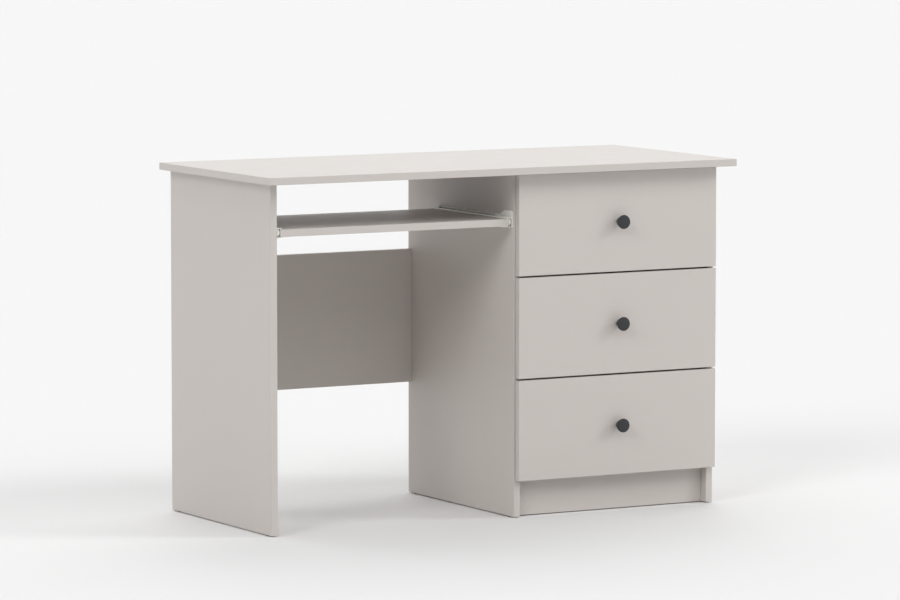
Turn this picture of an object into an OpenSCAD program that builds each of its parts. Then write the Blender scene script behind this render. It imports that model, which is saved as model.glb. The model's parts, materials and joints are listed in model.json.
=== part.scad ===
// Writing desk with a three-drawer pedestal and a pull-out keyboard tray.
// Millimetres, +Z up. Origin: middle of the footprint, on the floor.
// The drawers are on the +X side and the front of the desk faces -Y.

/* [Desk] */
// Overall width of the desktop
desk_w = 1100; // [1000:10:1400]
// Overall depth of the desktop
desk_d = 500; // [480:10:650]
// Overall height of the desk
desk_h = 730; // [710:5:760]
// Thickness of the laminated boards
board = 15; // [15:0.5:18]
// How far the desktop stands out past each outer panel
side_overhang = 26; // [0:1:40]
// How far the desktop stands out past the panels' front edges
front_overhang = 50; // [45:1:60]
// Outer width of the drawer pedestal
pedestal_w = 484; // [400:1:500]
// Height of the rear panel in the knee space
modesty_h = 285; // [150:5:300]
// Height of the rear panel's lower edge above the floor
modesty_z = 241; // [150:1:260]

/* [Plinth and glides] */
// How far the plinth stands back from the panels' front edges
plinth_recess = 20; // [5:1:60]
// Height of the plinth board
plinth_h = 78; // [60:1:79]
// Thickness of the glides under the panels
glide_h = 2; // [1:0.5:4]
// Diameter of a glide
glide_d = 13; // [8:1:14]

/* [Drawers] */
// Height of a drawer front
front_h = 209; // [200:1:209]
// Gap between two drawer fronts
front_gap = 3.5; // [2:0.5:4]
// Gap between the top drawer front and the desktop
top_gap = 3; // [2:0.5:5]
// How far a front stays short of the pedestal's side at each end
front_inset = 3; // [1:0.5:6]
// Air between a closed front and the panels' front edges
closed_gap = 1; // [1:0.5:2]
// Height of a drawer's side
drawer_side_h = 140; // [110:5:145]
// Thickness of a drawer's sides and back
drawer_side_t = 12; // [12:0.5:15]
// Thickness of the hardboard bottoms and pedestal back
hardboard = 3; // [2.5:0.5:4]
// Depth of the drawer boxes and length of their slides
drawer_len = 400; // [300:10:410]
// Height of a drawer's slides above the lower edge of its front
seat_lift = 25; // [22:1:30]

/* [Knobs] */
// Diameter of a knob's face
knob_d = 29; // [20:1:34]
// Diameter of a knob where it meets the drawer front
knob_neck_d = 11; // [9:1:13]
// How far a knob stands out from the drawer front
knob_h = 24; // [20:0.5:27]

/* [Keyboard tray] */
// Clear height between the tray and the desktop
tray_gap = 94; // [60:1:110]
// Depth of the tray
tray_d = 312; // [312:1:330]
// How far the tray's front edge stands back from the panels' front edges
tray_recess = 4; // [2:1:20]
// Length of the tray's slides
tray_slide_len = 310; // [250:10:310]

/* [Roller slides] */
// Space that a slide takes between a drawer and the panel beside it
slide_gap = 12.5; // [12.5:0.1:13]
// Thickness of the slides' sheet steel
steel = 1.2; // [1:0.1:1.2]
// Radius of the roller at the front of a cabinet rail
front_roller_r = 8.5; // [8:0.1:8.5]
// Radius of the roller at the rear of a drawer runner
rear_roller_r = 10.5; // [9.5:0.1:10.5]
// Height of the ear plate at the front of a rail, above the drawer's seat
ear_h = 31; // [26:1:38]

/* [Hidden] */
$fn = 48;

// Frame of the desk
top_under = desk_h - board;
front_y = front_overhang - desk_d / 2;
rear_y = desk_d / 2;
panel_d = rear_y - front_y;
left_x = side_overhang - desk_w / 2;
right_x = -left_x - board;
middle_x = -left_x - pedestal_w;
knee_x0 = left_x + board;
knee_x1 = middle_x;
pedestal_x0 = middle_x + board;
pedestal_x1 = right_x;
pedestal_cx = (pedestal_x0 + pedestal_x1) / 2;
pedestal_inner_w = pedestal_x1 - pedestal_x0;
floor_z = glide_h + plinth_h;
plinth_y = front_y + plinth_recess;
groove_d = 6;
groove_play = 0.4;
back_y = rear_y - board - hardboard;

// Drawers, counted from the bottom: 0, 1, 2
LEVELS = [0, 1, 2];
pitch_z = front_h + front_gap;
front_w = pedestal_w - 2 * front_inset;
front_back_y = front_y - closed_gap;
front_face_y = front_back_y - board;
box_w = pedestal_inner_w - 2 * slide_gap;
box_inner_w = box_w - 2 * drawer_side_t;
bottom_z = seat_lift + 12;
box_rear_y = front_back_y + drawer_len;
function drawer_z(level) = top_under - top_gap - front_h - (2 - level) * pitch_z;

// Keyboard tray
tray_x0 = knee_x0 + slide_gap;
tray_x1 = knee_x1 - slide_gap;
tray_z = top_under - tray_gap - board;
tray_y = front_y + tray_recess;

// Roller slides, with heights above the drawer's seat and distances from the panel
run_play = 0.3;
hook_z = 17;
channel_lo = -steel;
channel_hi = 21;
channel_w = 10.8;
runner_web = slide_gap - steel;
flange_w = 14;
hook_leg_x = 1.9;
hook_leg_z = 13.5;
axle_r = 2.5;
axle_play = 0.06;
rivet_r = 4;
rivet_t = 0.6;
front_roller_z = hook_z - run_play - front_roller_r;
rear_roller_z = channel_lo + run_play + rear_roller_r;
front_roller_y = 9.5;
rear_roller_y = 13;
ear_len = 50;
ear_slope = [19, 8.8];
notch_len = 25;
notch_r = 4;
rail_setback = 3;
tray_rail_setback = 5.5;
front_roller_x = [3.5, 9.9];
rear_roller_x = [2.5, 10.7];

// Fastener sizes
play = 0.05;
cam_r = 7.5;
cam_z = 24;
cam_wall = 3;
bolt_thread = [2.5, 11];
bolt_shoulder = [3.3, 9];
bolt_neck = [2, 22];
bolt_head = [3.2, 27];
bolt_bore_r = 3.5;
dowel_r = 4;
dowel_in_edge = 19.5;
dowel_in_face = 9.5;
screw_r = 1.6;
screw_head_r = 3.1;
screw_len = 11;
back_screw_len = 35;
knob_screw_r = 2;
knob_screw_in = 10;
knob_screw_head = [4, 2.5];
nail_r = 1;
nail_len = 12;

// Places of the fasteners
CAM_Y = [front_y + 60, rear_y - 60];
DOWEL_Y = [front_y + 100, rear_y - 100];
MODESTY_CAM_Z = [modesty_z + 45, modesty_z + modesty_h - 45];
MODESTY_DOWEL_Z = [modesty_z + 85, modesty_z + modesty_h - 85];
PLINTH_DOWEL_Z = [glide_h + 16, glide_h + plinth_h - 16];
PANEL_X = [left_x, middle_x, right_x];
GLIDE_Y = [front_y + 25, rear_y - 25];
SIDE_CAM_Z = [seat_lift + 42, seat_lift + drawer_side_h - 28];
BACK_SCREW_Z = [seat_lift + 45, seat_lift + drawer_side_h - 30];
function rail_holes(len) = [46, len / 2, len - 24];
function runner_holes(len) = [30, len / 2, len - 45];

LAMINATE = [0.79, 0.75, 0.71];
DRAWER_BOARD = [0.84, 0.82, 0.79];
HARDBOARD = [0.87, 0.85, 0.82];
EPOXY = [0.88, 0.86, 0.80];
NYLON = [0.93, 0.92, 0.88];
ZINC = [0.72, 0.73, 0.74];
BEECH = [0.82, 0.68, 0.48];
ANTHRACITE = [0.22, 0.22, 0.24];
GLIDE_PLASTIC = [0.30, 0.28, 0.26];

// ---- Fasteners ----
// A joint stands in its own frame: the end of board A meets the face of board B at z = 0,
// A is below and B above, and A's cam is let in from its +X face.

module cylinder_z(r, z0, z1) {
  translate([0, 0, z0]) cylinder(r = r, h = z1 - z0);
}

module cam_disc(t) {
  cam_h = t - cam_wall;
  difference() {
    translate([t / 2 - 0.3 - cam_h, 0, -cam_z]) rotate([0, 90, 0]) cylinder(r = cam_r, h = cam_h);
    cylinder_z(bolt_bore_r, -bolt_head[1] - 0.5, 0);
    translate([t / 2 - 1, 0, -cam_z]) cube([2.4, 1.2, 8], center = true);
    translate([t / 2 - 1, 0, -cam_z]) cube([2.4, 8, 1.2], center = true);
  }
}

module cam_bolt() {
  cylinder_z(bolt_thread[0], -1, bolt_thread[1]);
  cylinder_z(bolt_shoulder[0], -bolt_shoulder[1], 0);
  cylinder_z(bolt_neck[0], -bolt_neck[1] - 1, -bolt_shoulder[1] + 1);
  cylinder_z(bolt_head[0], -bolt_head[1], -bolt_neck[1]);
}

// Bores for one cam and its bolt in the end of board A
module cam_bores(t) {
  depth = t - cam_wall + 0.5;
  translate([t / 2 - depth, 0, -cam_z]) rotate([0, 90, 0]) cylinder(r = cam_r + play, h = depth + 1);
  cylinder_z(bolt_bore_r, -cam_z, 1);
}

// Bore for the bolt's thread in the face of board B
module bolt_bore() {
  cylinder_z(bolt_thread[0] + play, -1, bolt_thread[1] + 0.5);
}

module dowel() {
  cylinder_z(dowel_r, 1 - dowel_in_edge, dowel_in_face - 1);
  translate([0, 0, dowel_in_face - 1]) cylinder(r1 = dowel_r, r2 = dowel_r - 1, h = 1);
  translate([0, 0, -dowel_in_edge]) cylinder(r1 = dowel_r - 1, r2 = dowel_r, h = 1);
}

module dowel_edge_bore() {
  cylinder_z(dowel_r + play, -dowel_in_edge - 0.5, 1);
}

module dowel_face_bore() {
  cylinder_z(dowel_r + play, -1, dowel_in_face + 0.5);
}

// Countersunk screw: its head is flush with z = 0 and its point is at -Z
module flat_screw(len, r = screw_r, head_r = screw_head_r) {
  translate([0, 0, r - head_r]) cylinder(r1 = r, r2 = head_r, h = head_r - r);
  cylinder_z(r, 1 - len, r - head_r + 0.2);
  translate([0, 0, -len]) cylinder(r1 = r / 2, r2 = r, h = 1);
}

module flat_screw_hole(len, r = screw_r, head_r = screw_head_r) {
  head = head_r - r;
  translate([0, 0, -head]) cylinder(r1 = r + play, r2 = head_r + play, h = head);
  cylinder_z(head_r + play, 0, 2);
  cylinder_z(r + play, -len - 0.5, -head + 0.1);
}

// ---- Where the joints are ----

// Ends that point up into the desktop
module at_top_joints(xs, ys) {
  for (x = xs, y = ys)
    translate([x + board / 2, y, top_under]) mirror([x < 0 || x == middle_x ? 0 : 1, 0, 0]) children();
}

// Ends of the boards that stand across the desk, with the cam on the rear face
module at_cross_joints(x0, x1, y, zs) {
  for (z = zs) {
    translate([x1, y, z]) rotate([90, 0, 90]) children();
    translate([x0, y, z]) mirror([1, 0, 0]) rotate([90, 0, 90]) children();
  }
}

// Ends of the pedestal's floor, with the cam on the underside
module at_floor_joints(ys) {
  z = floor_z + board / 2;
  for (y = ys) {
    translate([pedestal_x1, y, z]) rotate([0, 90, 0]) children();
    translate([pedestal_x0, y, z]) mirror([1, 0, 0]) rotate([0, 90, 0]) children();
  }
}

// Front ends of a drawer's two sides, with the cam on the outer face
module at_side_joints(zs) {
  x = (box_w - drawer_side_t) / 2;
  for (z = zs, side = [0, 1])
    mirror([side, 0, 0]) translate([x, front_back_y, z]) rotate([90, 0, 0]) children();
}

modesty_mid_y = rear_y - board / 2;
plinth_mid_y = plinth_y + board / 2;
PLINTH_CAM_Z = [glide_h + plinth_h / 2];

module all_cam_joints() {
  at_top_joints(PANEL_X, CAM_Y) children();
  at_cross_joints(knee_x0, knee_x1, modesty_mid_y, MODESTY_CAM_Z) children();
  at_cross_joints(pedestal_x0, pedestal_x1, plinth_mid_y, PLINTH_CAM_Z) children();
  at_floor_joints(CAM_Y) children();
}

module all_dowel_joints() {
  at_top_joints(PANEL_X, DOWEL_Y) children();
  at_cross_joints(knee_x0, knee_x1, modesty_mid_y, MODESTY_DOWEL_Z) children();
  at_cross_joints(pedestal_x0, pedestal_x1, plinth_mid_y, PLINTH_DOWEL_Z) children();
  at_floor_joints(DOWEL_Y) children();
}

// Bores in the panels' faces for the boards that stand between them
module panel_face_bores() {
  at_cross_joints(knee_x0, knee_x1, modesty_mid_y, MODESTY_CAM_Z) bolt_bore();
  at_cross_joints(knee_x0, knee_x1, modesty_mid_y, MODESTY_DOWEL_Z) dowel_face_bore();
  at_cross_joints(pedestal_x0, pedestal_x1, plinth_mid_y, PLINTH_CAM_Z) bolt_bore();
  at_cross_joints(pedestal_x0, pedestal_x1, plinth_mid_y, PLINTH_DOWEL_Z) dowel_face_bore();
  at_floor_joints(CAM_Y) bolt_bore();
  at_floor_joints(DOWEL_Y) dowel_face_bore();
}

// ---- Slides ----
// A slide stands in its own frame: the panel's face is x = 0, the drawer is on +X,
// its seat is z = 0, and the slide's front end is y = 0.

// Left and right slide of a drawer or tray whose space runs from x0 to x1
module left_slide(x0, y, z) {
  translate([x0, y, z]) children();
}

module right_slide(x1, y, z) {
  translate([x1, y, z]) mirror([1, 0, 0]) children();
}

module at_rail_screws(len) {
  for (y = rail_holes(len)) translate([steel, y, channel_hi / 2]) rotate([0, 90, 0]) children();
}

module at_runner_screws(len) {
  for (y = runner_holes(len))
    translate([slide_gap + drawer_side_t / 2, y, -steel]) rotate([180, 0, 0]) children();
}

module axle(r, x0, x1, y, z) {
  translate([x0, y, z]) rotate([0, 90, 0]) cylinder(r = r, h = x1 - x0);
}

// Points of an arc round [x, z], from angle a to angle b
function arc(x, z, r, a, b) = [for (i = [0:4]) let (t = a + (b - a) * i / 4) [x + r * cos(t), z + r * sin(t)]];

// Section of a rail: a C that is open towards the drawer
module rail_section() {
  lo = channel_lo - steel;
  hi = channel_hi + steel;
  outer = steel + 0.5;
  polygon(concat(
    [[channel_w, lo]],
    arc(outer, lo + outer, outer, 270, 180),
    arc(outer, hi - outer, outer, 180, 90),
    [[channel_w, hi], [channel_w, channel_hi]],
    arc(outer, hi - outer, 0.5, 90, 180),
    arc(outer, lo + outer, 0.5, 180, 270),
    [[channel_w, channel_lo]]
  ));
}

// Section of a runner: a flange under the drawer, a web beside it, and a hook over the front roller
module runner_section() {
  inner = 1;
  outer = inner + steel;
  hook_x = runner_web - inner;
  leg_x = hook_leg_x + outer;
  polygon(concat(
    [[runner_web + flange_w, -steel]],
    arc(slide_gap, 0, steel, 270, 180),
    arc(hook_x, hook_z - inner, inner, 0, 90),
    arc(leg_x, hook_z - inner, inner, 90, 180),
    [[leg_x - inner, hook_leg_z], [hook_leg_x, hook_leg_z]],
    arc(leg_x, hook_z - inner, outer, 180, 90),
    arc(hook_x, hook_z - inner, outer, 90, 0),
    [[slide_gap, 0], [runner_web + flange_w, 0]]
  ));
}

module along_slide(len) {
  translate([0, len, 0]) rotate([90, 0, 0]) linear_extrude(len) children();
}

module rail(len) {
  notch_y = ear_len + notch_len;
  rivet_x = front_roller_x[1] + run_play;
  color(EPOXY) difference() {
    union() {
      along_slide(len) rail_section();
      rotate([90, 0, 90]) linear_extrude(steel) ear_outline();
      axle(axle_r, steel / 2, rivet_x + rivet_t, front_roller_y, front_roller_z);
      axle(rivet_r, rivet_x, rivet_x + rivet_t, front_roller_y, front_roller_z);
    }
    translate([steel, -1, channel_hi - 2]) cube([channel_w, notch_y + 1, steel + 3]);
    axle(notch_r, -1, channel_w + 1, notch_y, channel_hi + steel);
    at_rail_screws(len) flat_screw_hole(screw_len);
  }
}

// Side view of the ear plate at the front of a rail
module ear_outline() {
  polygon([
    [0, 0],
    [ear_len, 0],
    [ear_len, ear_h - ear_slope[1]],
    [ear_len - ear_slope[0], ear_h],
    [2, ear_h],
    [0, ear_h - 2]
  ]);
}

module runner(len) {
  roller_y = len - rear_roller_y;
  hook_end = roller_y - rear_roller_r - 3;
  rivet_x = rear_roller_x[0] - run_play - rivet_t;
  color(EPOXY) difference() {
    union() {
      difference() {
        along_slide(len) runner_section();
        translate([0, hook_end, 0]) cube([runner_web, len, hook_z + 2 * steel]);
      }
      axle(axle_r, rivet_x, runner_web + steel / 2, roller_y, rear_roller_z);
      axle(rivet_r, rivet_x, rivet_x + rivet_t, roller_y, rear_roller_z);
    }
    at_runner_screws(len) flat_screw_hole(screw_len);
  }
}

module roller(r, xs) {
  color(NYLON) translate([xs[0], 0, 0]) rotate([0, 90, 0]) difference() {
    rotate_extrude() {
      w = xs[1] - xs[0];
      polygon([[0, 0], [r - 1, 0], [r, 0.8], [r, w - 0.8], [r - 1, w], [0, w]]);
    }
    translate([0, 0, -1]) cylinder(r = axle_r + axle_play, h = xs[1] - xs[0] + 2);
  }
}

module front_roller(len) {
  translate([0, front_roller_y, front_roller_z]) roller(front_roller_r, front_roller_x);
}

module rear_roller(len) {
  translate([0, len - rear_roller_y, rear_roller_z]) roller(rear_roller_r, rear_roller_x);
}

// Rails, runners and rollers in place
module drawer_rail_place(level, right) {
  if (right) right_slide(pedestal_x1, front_y + rail_setback, drawer_z(level) + seat_lift) children();
  else left_slide(pedestal_x0, front_y + rail_setback, drawer_z(level) + seat_lift) children();
}

module drawer_runner_place(level, right) {
  if (right) right_slide(pedestal_x1, front_back_y + 1, drawer_z(level) + seat_lift) children();
  else left_slide(pedestal_x0, front_back_y + 1, drawer_z(level) + seat_lift) children();
}

module tray_rail_place(right) {
  if (right) right_slide(knee_x1, front_y + tray_rail_setback, tray_z) children();
  else left_slide(knee_x0, front_y + tray_rail_setback, tray_z) children();
}

module tray_runner_place(right) {
  if (right) right_slide(knee_x1, tray_y + 1, tray_z) children();
  else left_slide(knee_x0, tray_y + 1, tray_z) children();
}

module all_rail_places() {
  for (right = [false, true]) {
    tray_rail_place(right) at_rail_screws(tray_slide_len) children();
    for (level = LEVELS) drawer_rail_place(level, right) at_rail_screws(drawer_len) children();
  }
}

// ---- Carcass ----

module desktop() {
  color(LAMINATE) difference() {
    translate([-desk_w / 2, -desk_d / 2, top_under]) cube([desk_w, desk_d, board]);
    at_top_joints(PANEL_X, CAM_Y) bolt_bore();
    at_top_joints(PANEL_X, DOWEL_Y) dowel_face_bore();
  }
}

module upright(x) {
  color(LAMINATE) difference() {
    translate([x, front_y, glide_h]) cube([board, panel_d, top_under - glide_h]);
    at_top_joints([x], CAM_Y) cam_bores(board);
    at_top_joints([x], DOWEL_Y) dowel_edge_bore();
    panel_face_bores();
    all_rail_places() flat_screw_hole(screw_len);
    back_groove();
    for (y = GLIDE_Y) translate([x + board / 2, y, glide_h - 1]) cylinder(r = nail_r + play, h = nail_len + 2);
  }
}

module back_groove() {
  x0 = pedestal_x0 - groove_d;
  w = pedestal_inner_w + 2 * groove_d;
  translate([x0, back_y - groove_play / 2, floor_z]) cube([w, hardboard + groove_play, desk_h]);
}

module left_panel() {
  upright(left_x);
}

module middle_panel() {
  upright(middle_x);
}

module right_panel() {
  upright(right_x);
}

module modesty_panel() {
  color(LAMINATE) difference() {
    translate([knee_x0, rear_y - board, modesty_z]) cube([knee_x1 - knee_x0, board, modesty_h]);
    at_cross_joints(knee_x0, knee_x1, modesty_mid_y, MODESTY_CAM_Z) cam_bores(board);
    at_cross_joints(knee_x0, knee_x1, modesty_mid_y, MODESTY_DOWEL_Z) dowel_edge_bore();
  }
}

module pedestal_floor() {
  y0 = front_y + 2;
  color(LAMINATE) difference() {
    translate([pedestal_x0, y0, floor_z]) cube([pedestal_inner_w, back_y - 0.2 - y0, board]);
    at_floor_joints(CAM_Y) cam_bores(board);
    at_floor_joints(DOWEL_Y) dowel_edge_bore();
  }
}

module plinth() {
  color(LAMINATE) difference() {
    translate([pedestal_x0, plinth_y, glide_h]) cube([pedestal_inner_w, board, plinth_h]);
    at_cross_joints(pedestal_x0, pedestal_x1, plinth_mid_y, PLINTH_CAM_Z) cam_bores(board);
    at_cross_joints(pedestal_x0, pedestal_x1, plinth_mid_y, PLINTH_DOWEL_Z) dowel_edge_bore();
  }
}

module pedestal_back() {
  reach = groove_d - 0.5;
  color(HARDBOARD) translate([pedestal_x0 - reach, back_y, floor_z + 0.2])
    cube([pedestal_inner_w + 2 * reach, hardboard, top_under - floor_z - 0.4]);
}

module floor_glides() {
  color(GLIDE_PLASTIC) for (x = PANEL_X, y = GLIDE_Y) translate([x + board / 2, y, 0]) {
    cylinder(r1 = glide_d / 2 - 1, r2 = glide_d / 2, h = 1);
    cylinder_z(glide_d / 2, 0.9, glide_h);
    cylinder_z(nail_r, 0.5, glide_h + nail_len);
  }
}

module cam_discs() {
  color(ZINC) all_cam_joints() cam_disc(board);
}

module cam_bolts() {
  color(ZINC) all_cam_joints() cam_bolt();
}

module dowels() {
  color(BEECH) all_dowel_joints() dowel();
}

module rail_screws() {
  color(ZINC) all_rail_places() flat_screw(screw_len);
}

// ---- Keyboard tray ----

module keyboard_tray() {
  color(LAMINATE) difference() {
    translate([tray_x0, tray_y, tray_z]) cube([tray_x1 - tray_x0, tray_d, board]);
    for (right = [false, true])
      tray_runner_place(right) at_runner_screws(tray_slide_len) flat_screw_hole(screw_len);
  }
}

module tray_screws() {
  color(ZINC) for (right = [false, true])
    tray_runner_place(right) at_runner_screws(tray_slide_len) flat_screw(screw_len);
}

// ---- Drawers ----
// A drawer's boards stand in their own frame: x = 0 is the pedestal's middle and
// z = 0 is the lower edge of the drawer's front.

module drawer_place(level) {
  translate([pedestal_cx, 0, drawer_z(level)]) children();
}

// What the drawer's bottom needs in the sides and the front
module bottom_groove() {
  w = box_inner_w + 2 * groove_d;
  y0 = front_back_y - groove_d;
  translate([-w / 2, y0, bottom_z - groove_play / 2]) cube([w, drawer_len + 2 * groove_d, hardboard + groove_play]);
}

module at_back_screws() {
  for (z = BACK_SCREW_Z, side = [0, 1])
    mirror([side, 0, 0]) translate([box_w / 2, box_rear_y - drawer_side_t / 2, z]) rotate([0, 90, 0]) children();
}

module drawer_front(level) {
  knob_z = front_h / 2;
  color(LAMINATE) drawer_place(level) difference() {
    translate([-front_w / 2, front_face_y, 0]) cube([front_w, board, front_h]);
    at_side_joints(SIDE_CAM_Z) bolt_bore();
    bottom_groove();
    translate([0, front_back_y + 1, knob_z]) rotate([90, 0, 0]) cylinder(r = knob_screw_r + play, h = board + 2);
  }
}

module drawer_side(level, right) {
  color(DRAWER_BOARD) drawer_place(level) difference() {
    mirror([right ? 0 : 1, 0, 0]) translate([box_inner_w / 2, front_back_y, seat_lift])
      cube([drawer_side_t, drawer_len, drawer_side_h]);
    at_side_joints(SIDE_CAM_Z) cam_bores(drawer_side_t);
    at_back_screws() flat_screw_hole(back_screw_len);
    bottom_groove();
    drawer_runner_screws() flat_screw_hole(screw_len);
  }
}

// The runner screws of one drawer, in the drawer's own frame
module drawer_runner_screws() {
  for (side = [0, 1]) mirror([side, 0, 0])
    translate([-pedestal_inner_w / 2, front_back_y + 1, seat_lift]) at_runner_screws(drawer_len) children();
}

module drawer_back(level) {
  z0 = bottom_z + hardboard + 0.2;
  color(DRAWER_BOARD) drawer_place(level) difference() {
    translate([-box_inner_w / 2, box_rear_y - drawer_side_t, z0])
      cube([box_inner_w, drawer_side_t, seat_lift + drawer_side_h - z0]);
    at_back_screws() flat_screw_hole(back_screw_len);
  }
}

module drawer_bottom(level) {
  reach = groove_d - 0.5;
  w = box_inner_w + 2 * reach;
  color(HARDBOARD) drawer_place(level) translate([-w / 2, front_back_y - reach, bottom_z])
    cube([w, drawer_len + reach, hardboard]);
}

// Half section of a knob: it swells from its foot to a thin round rim, with a slightly domed face
module knob_section() {
  foot = knob_neck_d / 2;
  rim = knob_d / 2;
  swell = rim - foot;
  polygon([
    [0, 0],
    [foot, 0],
    [foot, 0.9],
    [foot + 0.13 * swell, 0.1 * knob_h],
    [foot + 0.31 * swell, 0.21 * knob_h],
    [foot + 0.45 * swell, 0.33 * knob_h],
    [foot + 0.58 * swell, 0.44 * knob_h],
    [foot + 0.7 * swell, 0.545 * knob_h],
    [foot + 0.82 * swell, 0.65 * knob_h],
    [foot + 0.93 * swell, 0.755 * knob_h],
    [rim - 0.15, 0.82 * knob_h],
    [rim, 0.86 * knob_h],
    [rim, knob_h - 2.1],
    [rim - 0.35, knob_h - 1.4],
    [rim - 1.1, knob_h - 0.85],
    [rim - 3.5, knob_h - 0.45],
    [rim - 8, knob_h - 0.12],
    [0, knob_h]
  ]);
}

module drawer_knob(level) {
  color(ANTHRACITE) drawer_place(level) translate([0, front_face_y, front_h / 2]) rotate([90, 0, 0]) difference() {
    rotate_extrude($fn = 96) knob_section();
    translate([0, 0, -1]) cylinder(r = knob_screw_r + play, h = knob_screw_in + 2);
  }
}

module drawer_fittings(level) {
  color(ZINC) drawer_place(level) {
    at_side_joints(SIDE_CAM_Z) cam_disc(drawer_side_t);
    at_side_joints(SIDE_CAM_Z) cam_bolt();
    at_back_screws() flat_screw(back_screw_len);
    drawer_runner_screws() flat_screw(screw_len);
    translate([0, front_back_y, front_h / 2]) rotate([90, 0, 0]) {
      cylinder(r = knob_screw_r, h = board + knob_screw_in);
      cylinder_z(knob_screw_head[0], -knob_screw_head[1], 0);
    }
  }
}

module drawer_rail(level, right) {
  drawer_rail_place(level, right) rail(drawer_len);
}

module drawer_runner(level, right) {
  drawer_runner_place(level, right) runner(drawer_len);
}

module drawer_front_rollers(level) {
  for (right = [false, true]) drawer_rail_place(level, right) front_roller(drawer_len);
}

module drawer_rear_rollers(level) {
  for (right = [false, true]) drawer_runner_place(level, right) rear_roller(drawer_len);
}

// ---- Assembly ----

desktop();
left_panel();
middle_panel();
right_panel();
modesty_panel();
pedestal_floor();
plinth();
pedestal_back();
floor_glides();
cam_discs();
cam_bolts();
dowels();
rail_screws();
keyboard_tray();
tray_screws();
tray_rail_place(false) rail(tray_slide_len);  // tray_rail_left
tray_rail_place(true) rail(tray_slide_len);  // tray_rail_right
tray_runner_place(false) runner(tray_slide_len);  // tray_runner_left
tray_runner_place(true) runner(tray_slide_len);  // tray_runner_right
for (right = [false, true]) tray_rail_place(right) front_roller(tray_slide_len);  // tray_front_rollers
for (right = [false, true]) tray_runner_place(right) rear_roller(tray_slide_len);  // tray_rear_rollers
for (level = LEVELS) {
  name = str(["bottom", "middle", "top"][level], "_drawer_");
  drawer_rail(level, false);
  drawer_rail(level, true);
  drawer_front(level);
  drawer_side(level, false);
  drawer_side(level, true);
  drawer_back(level);
  drawer_bottom(level);
  drawer_knob(level);
  drawer_fittings(level);
  drawer_runner(level, false);
  drawer_runner(level, true);
  drawer_front_rollers(level);
  drawer_rear_rollers(level);
}
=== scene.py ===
import json
import math

import bmesh
import bpy
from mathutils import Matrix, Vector


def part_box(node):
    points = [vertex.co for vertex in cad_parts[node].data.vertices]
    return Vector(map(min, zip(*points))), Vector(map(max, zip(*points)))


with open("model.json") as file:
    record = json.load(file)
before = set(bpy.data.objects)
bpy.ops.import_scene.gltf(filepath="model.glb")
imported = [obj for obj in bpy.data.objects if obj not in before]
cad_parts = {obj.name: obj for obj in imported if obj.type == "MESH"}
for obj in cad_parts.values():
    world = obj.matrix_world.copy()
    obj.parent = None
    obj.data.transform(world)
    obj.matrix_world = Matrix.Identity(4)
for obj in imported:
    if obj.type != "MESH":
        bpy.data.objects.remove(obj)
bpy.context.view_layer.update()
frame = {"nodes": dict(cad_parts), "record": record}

MM = 0.001
SCENE = bpy.context.scene
NODES = frame["nodes"]


# ---- Camera ----

CAMERA_AT = Vector((-5.295, -9.415, 1.505))
CAMERA_YAW = math.radians(29.36)      # turned this far from +Y towards +X
CAMERA_DOWN = math.radians(5.64)      # tilted this far below the horizon
CAMERA_LENS = 207.8                   # on the default 36 mm sensor
CAMERA_REACH = 100                    # far enough for the floor behind the desk


def make_camera():
    data = bpy.data.cameras.new("camera")
    data.lens = CAMERA_LENS
    data.clip_end = CAMERA_REACH
    camera = bpy.data.objects.new("camera", data)
    camera.location = CAMERA_AT
    camera.rotation_euler = (math.pi / 2 - CAMERA_DOWN, 0, -CAMERA_YAW)
    SCENE.collection.objects.link(camera)
    SCENE.camera = camera


# ---- Node trees ----

def set_socket(links, socket, value):
    """Links a socket to another node's output, or gives it a constant."""
    if isinstance(value, bpy.types.NodeSocket):
        links.new(value, socket)
    else:
        socket.default_value = value


class Tree:
    """Adds nodes to the node tree of a material or a world, and links them."""

    def __init__(self, owner):
        owner.use_nodes = True
        self.owner = owner
        self.nodes = owner.node_tree.nodes
        self.links = owner.node_tree.links

    def add(self, kind, inputs=None, **settings):
        node = self.nodes.new(kind)
        for key, value in settings.items():
            setattr(node, key, value)
        for key, value in (inputs or {}).items():
            set_socket(self.links, node.inputs[key], value)
        return node

    def object_space(self):
        return self.add("ShaderNodeTexCoord").outputs["Object"]

    def math(self, operation, a, b=0.0):
        return self.add("ShaderNodeMath", {0: a, 1: b}, operation=operation).outputs[0]

    def mix(self, factor, a, b):
        """Mixes two colours. Sockets 6 and 7 and output 2 are the colour ones."""
        node = self.add("ShaderNodeMix", {"Factor": factor}, data_type="RGBA")
        set_socket(self.links, node.inputs[6], a)
        set_socket(self.links, node.inputs[7], b)
        return node.outputs[2]

    def ramp(self, value, low, high):
        """0 at low and 1 at high."""
        inputs = {"Value": value, "From Min": low, "From Max": high}
        return self.add("ShaderNodeMapRange", inputs).outputs["Result"]

    def between(self, noise, low, high):
        """Turns the usual range of a noise into low to high."""
        inputs = {"Value": noise, "From Min": 0.3, "From Max": 0.7, "To Min": low, "To Max": high}
        return self.add("ShaderNodeMapRange", inputs).outputs["Result"]

    def noise(self, vector, scale, detail=3.0, roughness=0.5):
        inputs = {"Vector": vector, "Scale": scale, "Detail": detail, "Roughness": roughness}
        return self.add("ShaderNodeTexNoise", inputs).outputs["Fac"]

    def bump(self, height, strength, distance, below=None):
        inputs = {"Height": height, "Strength": strength, "Distance": distance}
        if below is not None:
            inputs["Normal"] = below
        return self.add("ShaderNodeBump", inputs).outputs["Normal"]

    def surface(self, **sockets):
        """Sets sockets of the material's shader, named with _ for a space."""
        shader = self.nodes["Principled BSDF"]
        for key, value in sockets.items():
            set_socket(self.links, shader.inputs[key.replace("_", " ")], value)


def material_tree(name):
    return Tree(bpy.data.materials.new(name))


def shade(color, factor):
    return tuple(c * factor for c in color[:3]) + (1.0,)


# ---- Materials ----

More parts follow.
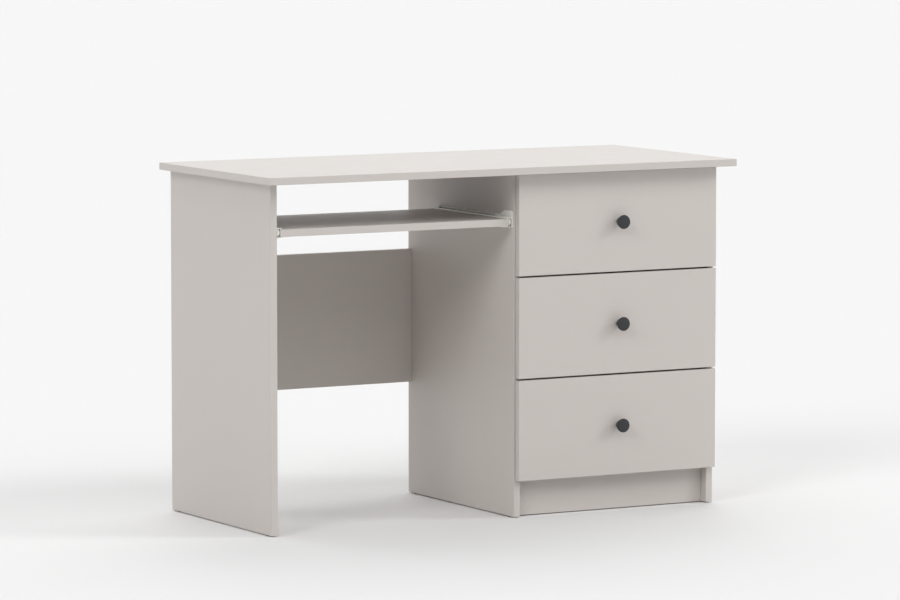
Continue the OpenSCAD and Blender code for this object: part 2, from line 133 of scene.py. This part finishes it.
GREIGE = (0.545, 0.508, 0.481, 1.0)
PALE_FOIL = (0.60, 0.575, 0.55, 1.0)
HARDBOARD = (0.60, 0.575, 0.545, 1.0)
EPOXY = (0.86, 0.85, 0.81, 1.0)
NYLON = (0.80, 0.79, 0.75, 1.0)
ANTHRACITE = (0.0165, 0.0178, 0.0205, 1.0)
ZINC = (0.58, 0.59, 0.61, 1.0)
BEECH = (0.60, 0.42, 0.24, 1.0)
GLIDE = (0.05, 0.045, 0.04, 1.0)
BAND = 1.0 * MM       # thickness of the edge band
SEAM = 0.07 * MM      # half the width of its glue line
SEAM_SHADE = 0.72     # colour of the glue line beside the board's
SEAM_DEPTH = 0.05 * MM


def board_surface(t, at, color, texture):
    """Matte melamine: a faint cloud in the colour, a fine pearl texture, and soft gloss changes."""
    cloud = t.noise(at, 3.0, 2.0)
    speckle = t.noise(at, 2200.0, 2.0)
    tone = t.mix(t.ramp(cloud, 0.35, 0.65), shade(color, 0.994), shade(color, 1.006))
    tone = t.mix(t.ramp(speckle, 0.3, 0.7), tone, shade(color, 1.015))
    pearl = t.noise(at, 900.0, 3.0, 0.55)
    handled = t.noise(at, 14.0, 4.0)
    t.surface(Roughness=t.between(handled, 0.47, 0.52), IOR=1.45)
    return tone, t.bump(pearl, texture, 0.2 * MM)


def edge_distance(t, at, low, high):
    """How far a point on a board is from the nearest edge of its large faces."""
    xyz = t.add("ShaderNodeSeparateXYZ", {0: at}).outputs
    thin = min(range(3), key=lambda i: high[i] - low[i])
    nearest = None
    for axis in (i for i in range(3) if i != thin):
        middle, half = (low[axis] + high[axis]) / 2, (high[axis] - low[axis]) / 2
        inside = t.math("SUBTRACT", half, t.math("ABSOLUTE", t.math("SUBTRACT", xyz[axis], middle)))
        nearest = inside if nearest is None else t.math("MINIMUM", nearest, inside)
    return nearest


def banded_board(name, color, low, high, texture):
    """A board whose edges carry a band of the same colour, with a hairline glue seam on the faces."""
    t = material_tree(name)
    at = t.object_space()
    tone, normal = board_surface(t, at, color, texture)
    off = t.math("ABSOLUTE", t.math("SUBTRACT", edge_distance(t, at, low, high), BAND))
    seam = t.ramp(off, SEAM, 0.0)
    tone = t.mix(seam, tone, shade(color, SEAM_SHADE))
    t.surface(Base_Color=tone, Normal=t.bump(seam, 0.4, -SEAM_DEPTH, normal))
    return t.owner


def plain_board(name, color, texture):
    t = material_tree(name)
    tone, normal = board_surface(t, t.object_space(), color, texture)
    t.surface(Base_Color=tone, Normal=normal)
    return t.owner


def sheet_steel(name, color):
    """Satin epoxy coat with its fine orange peel."""
    t = material_tree(name)
    at = t.object_space()
    peel = t.noise(at, 700.0, 2.0)
    rubbed = t.noise(at, 60.0, 4.0)
    tone = t.mix(t.ramp(rubbed, 0.3, 0.75), shade(color, 0.97), shade(color, 1.02))
    gloss = t.between(rubbed, 0.28, 0.42)
    t.surface(Base_Color=tone, Roughness=gloss, Normal=t.bump(peel, 0.2, 0.2 * MM))
    return t.owner


def plastic(name, color, smooth, rough):
    """Moulded plastic with flow marks, its roughness from smooth to rough."""
    t = material_tree(name)
    at = t.object_space()
    grain = t.noise(at, 1500.0, 3.0)
    swirl = t.noise(at, 80.0, 3.0)
    tone = t.mix(swirl, shade(color, 0.94), shade(color, 1.05))
    gloss = t.between(swirl, smooth, rough)
    t.surface(Base_Color=tone, Roughness=gloss, Normal=t.bump(grain, 0.15, 0.1 * MM))
    return t.owner


def zinc(name, color):
    """Bright zinc plating with a faint spangle."""
    t = material_tree(name)
    spangle = t.noise(t.object_space(), 400.0, 5.0, 0.6)
    tone = t.mix(spangle, shade(color, 0.85), shade(color, 1.12))
    gloss = t.between(spangle, 0.25, 0.45)
    t.surface(Base_Color=tone, Roughness=gloss, Metallic=1.0, Normal=t.bump(spangle, 0.12, 0.1 * MM))
    return t.owner


def powder_coat(name, color):
    """Matte anthracite powder coat: a deep colour with a fine grain that breaks up the highlights."""
    t = material_tree(name)
    at = t.object_space()
    grain = t.noise(at, 2600.0, 3.0, 0.6)
    dust = t.noise(at, 60.0, 3.0)
    tone = t.mix(t.ramp(grain, 0.3, 0.7), shade(color, 0.85), shade(color, 1.2))
    gloss = t.between(dust, 0.42, 0.55)
    t.surface(Base_Color=tone, Roughness=gloss, Normal=t.bump(grain, 0.3, 0.1 * MM))
    return t.owner


def beech(name, color):
    """Raw beech with short flecks along X and Y."""
    t = material_tree(name)
    stretched = t.add("ShaderNodeMapping", {"Vector": t.object_space(), "Scale": (60.0, 60.0, 400.0)})
    fleck = t.noise(stretched.outputs[0], 4.0, 4.0)
    tone = t.mix(fleck, shade(color, 0.8), shade(color, 1.15))
    t.surface(Base_Color=tone, Roughness=0.6, Normal=t.bump(fleck, 0.3, 0.2 * MM))
    return t.owner


# The finish of each material slot that its nodes share
SHARED = {
    "hardboard": plain_board("lacquered_hardboard", HARDBOARD, 0.3),
    "slide_epoxy": sheet_steel("cream_epoxy", EPOXY),
    "roller_plastic": plastic("nylon", NYLON, 0.35, 0.5),
    "knob_coating": powder_coat("anthracite_coat", ANTHRACITE),
    "zinc_fittings": zinc("zinc_plate", ZINC),
    "beech_dowels": beech("raw_beech", BEECH),
    "glide_plastic": plastic("glide_plastic", GLIDE, 0.5, 0.7),
}
# The slots where each board has a finish of its own: its colour and how deep the pearl texture is
BANDED = {"laminate": (GREIGE, 0.12), "drawer_board": (PALE_FOIL, 0.08)}
EDGE_RADIUS = {"laminate": 0.8 * MM, "drawer_board": 0.5 * MM, "hardboard": 0.3 * MM}
ON_OUTLINE = 0.02 * MM      # a vertex this near the board's box lies on its outline
SAME_POINT = 0.01 * MM


# ---- CAD nodes ----

def finish_cad_nodes():
    """Every CAD node gets the finish of its slot, and the boards get softened outer edges."""
    for part in frame["record"]["subparts"]:
        name, slot = part["node"], part["material_slot"]
        node = NODES[name]
        low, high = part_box(name)
        node.data.materials.clear()
        if slot in BANDED:
            color, texture = BANDED[slot]
            node.data.materials.append(banded_board(name + "_board", color, low, high, texture))
        else:
            node.data.materials.append(SHARED[slot])
        if slot in EDGE_RADIUS:
            soften(node, low, high, EDGE_RADIUS[slot])


def outline_planes(point, low, high):
    """The sides of the board's box that a point lies on."""
    at_low = {(i, "low") for i in range(3) if abs(point[i] - low[i]) < ON_OUTLINE}
    at_high = {(i, "high") for i in range(3) if abs(point[i] - high[i]) < ON_OUTLINE}
    return at_low | at_high


def soften(node, low, high, radius):
    """Rounds only the edges that lie on the board's outline, so that bores and grooves stay crisp."""
    mesh = node.data
    planes = [outline_planes(vertex.co, low, high) for vertex in mesh.vertices]
    weights = mesh.attributes.new("bevel_weight_edge", "FLOAT", "EDGE")
    for edge in mesh.edges:
        a, b = edge.vertices
        weights.data[edge.index].value = 1.0 if len(planes[a] & planes[b]) >= 2 else 0.0
    weld = node.modifiers.new("weld", "WELD")
    weld.merge_threshold = SAME_POINT
    bevel = node.modifiers.new("edges", "BEVEL")
    bevel.width = radius
    bevel.segments = 3
    bevel.limit_method = "WEIGHT"
    bevel.use_clamp_overlap = False
    bevel.harden_normals = True


# ---- Studio ----

FLOOR_RADIUS = 120.0
FLOOR_SIDES = 96
FLOOR_WHITE = (0.797, 0.797, 0.797, 1.0)

# Soft boxes far away: height above the horizon, bearing from the front towards +X, width, and strength
SOFT_BOXES = (
    ("front_right", 30, 60, 20, 0.90),
    ("front_left", 30, -60, 25, 0.92),
    ("front_high", 45, 0, 50, 0.83),
    ("front_right_low", 15, 45, 30, 0.305),
    ("left_low", 15, -90, 30, 0.31),
    ("rear_right_high", 45, 135, 50, 0.85),
    ("rear_high", 45, 180, 50, 0.67),
    ("rear_right", 30, 150, 25, 0.165),
    ("left_top", 65, -120, 40, 0.46),
)
ROOM_LIGHT = 0.08        # soft light from everywhere
HORIZON_LIGHT = 0.06     # added near the horizon
BACKDROP_LIGHT = 0.95    # added near the horizon behind the desk
FLOOR_LINE = 0.93        # where the floor runs out, the room is as bright as the floor


def make_floor():
    """A wide pale studio floor that fills the camera's view behind the desk."""
    mesh = bpy.data.meshes.new("studio_floor")
    bm = bmesh.new()
    turns = [2 * math.pi * i / FLOOR_SIDES for i in range(FLOOR_SIDES)]
    bm.faces.new([bm.verts.new((FLOOR_RADIUS * math.cos(a), FLOOR_RADIUS * math.sin(a), 0.0)) for a in turns])
    bm.to_mesh(mesh)
    bm.free()
    t = material_tree("studio_floor")
    tone = t.mix(t.noise(t.object_space(), 2.0), FLOOR_WHITE, shade(FLOOR_WHITE, 1.0075))
    t.surface(Base_Color=tone, Roughness=1.0, Specular_IOR_Level=0.0)
    mesh.materials.append(t.owner)
    floor = bpy.data.objects.new("studio_floor", mesh)
    SCENE.collection.objects.link(floor)


def soft_box(name, height, bearing, width, strength):
    data = bpy.data.lights.new(name, "SUN")
    data.energy = strength
    data.angle = math.radians(width)
    light = bpy.data.objects.new(name, data)
    up, turn = math.radians(height), math.radians(bearing)
    towards = Vector((math.sin(turn) * math.cos(up), -math.cos(turn) * math.cos(up), math.sin(up)))
    light.rotation_euler = towards.to_track_quat("Z", "Y").to_euler()
    SCENE.collection.objects.link(light)


def make_room():
    """A white room: even light, brighter near the horizon, and brightest on the backdrop behind."""
    world = bpy.data.worlds.new("studio")
    SCENE.world = world
    t = Tree(world)
    towards = t.add("ShaderNodeTexCoord").outputs["Generated"]
    height = t.add("ShaderNodeSeparateXYZ", {0: towards}).outputs["Z"]
    near_horizon = t.ramp(height, 0.45, 0.2)
    behind = (math.sin(CAMERA_YAW), math.cos(CAMERA_YAW), 0.0)
    facing = t.add("ShaderNodeVectorMath", {0: towards, 1: behind}, operation="DOT_PRODUCT").outputs["Value"]
    backdrop = t.math("MULTIPLY", t.ramp(facing, -0.1, 0.3), BACKDROP_LIGHT)
    band = t.math("MULTIPLY", near_horizon, t.math("ADD", backdrop, HORIZON_LIGHT))
    floor_line = t.math("MULTIPLY", t.ramp(height, 0.06, 0.02), FLOOR_LINE)
    light = t.math("MAXIMUM", t.math("ADD", band, ROOM_LIGHT), floor_line)
    background = t.nodes["Background"]
    background.inputs["Strength"].default_value = 1.0
    t.links.new(light, background.inputs["Color"])


def make_lights():
    make_room()
    for box in SOFT_BOXES:
        soft_box(*box)
    SCENE.view_settings.view_transform = "Standard"


make_camera()
make_floor()
make_lights()
finish_cad_nodes()
